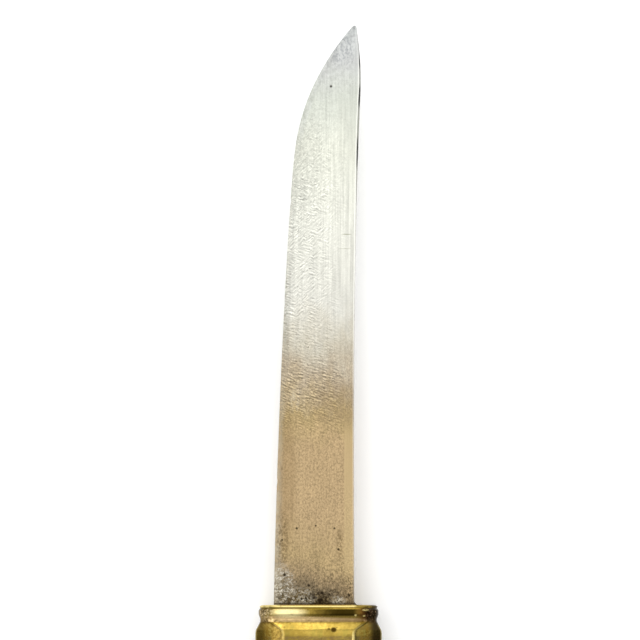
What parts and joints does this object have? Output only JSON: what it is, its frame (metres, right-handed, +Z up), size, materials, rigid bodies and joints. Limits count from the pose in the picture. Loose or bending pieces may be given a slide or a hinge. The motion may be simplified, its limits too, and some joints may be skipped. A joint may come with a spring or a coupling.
{
  "type": "rigging knife",
  "caption": "Fixed-blade rigging knife: narrow single-edged blade, beaded brass ferrule, faceted hardwood grip, brass pommel cap with peened tang and a swinging lanyard bail.",
  "frame": {"origin": "centre of the knife's outline on the surface that it lies on", "axes": "+Y along the knife towards the blade's tip, +X from the cutting edge to the spine, +Z up from the surface it lies on"},
  "size_m": [0.0322, 0.2296, 0.0186],
  "materials": {
    "blade_steel": "old carbon steel, ground and worn, silver at the tip and stained warm brown towards the ferrule",
    "brass": "old polished brass, dented, with dark tarnish in its corners",
    "grip_wood": "oiled dark hardwood with long open pores",
    "fibre": "vulcanised fibre",
    "pitch": "cutler's pitch"
  },
  "bodies": {
    "knife": {"blade": "blade_steel", "ferrule": "brass", "seat_packing": "pitch", "front_washer": "fibre", "grip": "grip_wood", "tang_bedding": "pitch", "butt_washer": "fibre", "pommel_cap": "brass", "tang_burr": "brass", "ferrule_pin_left": "brass", "ferrule_pin_right": "brass", "bail_pivot_left": "brass", "bail_pivot_right": "brass"},
    "bail": {"bail": "brass"}
  },
  "joints": [
    {"name": "bail_swing", "type": "hinge", "parent": "knife", "child": "bail", "pos_m": [0, -0.09317, 0.0093], "axis": [1, 0, 0], "range_deg": [-166.6, 123.4]}
  ]
}
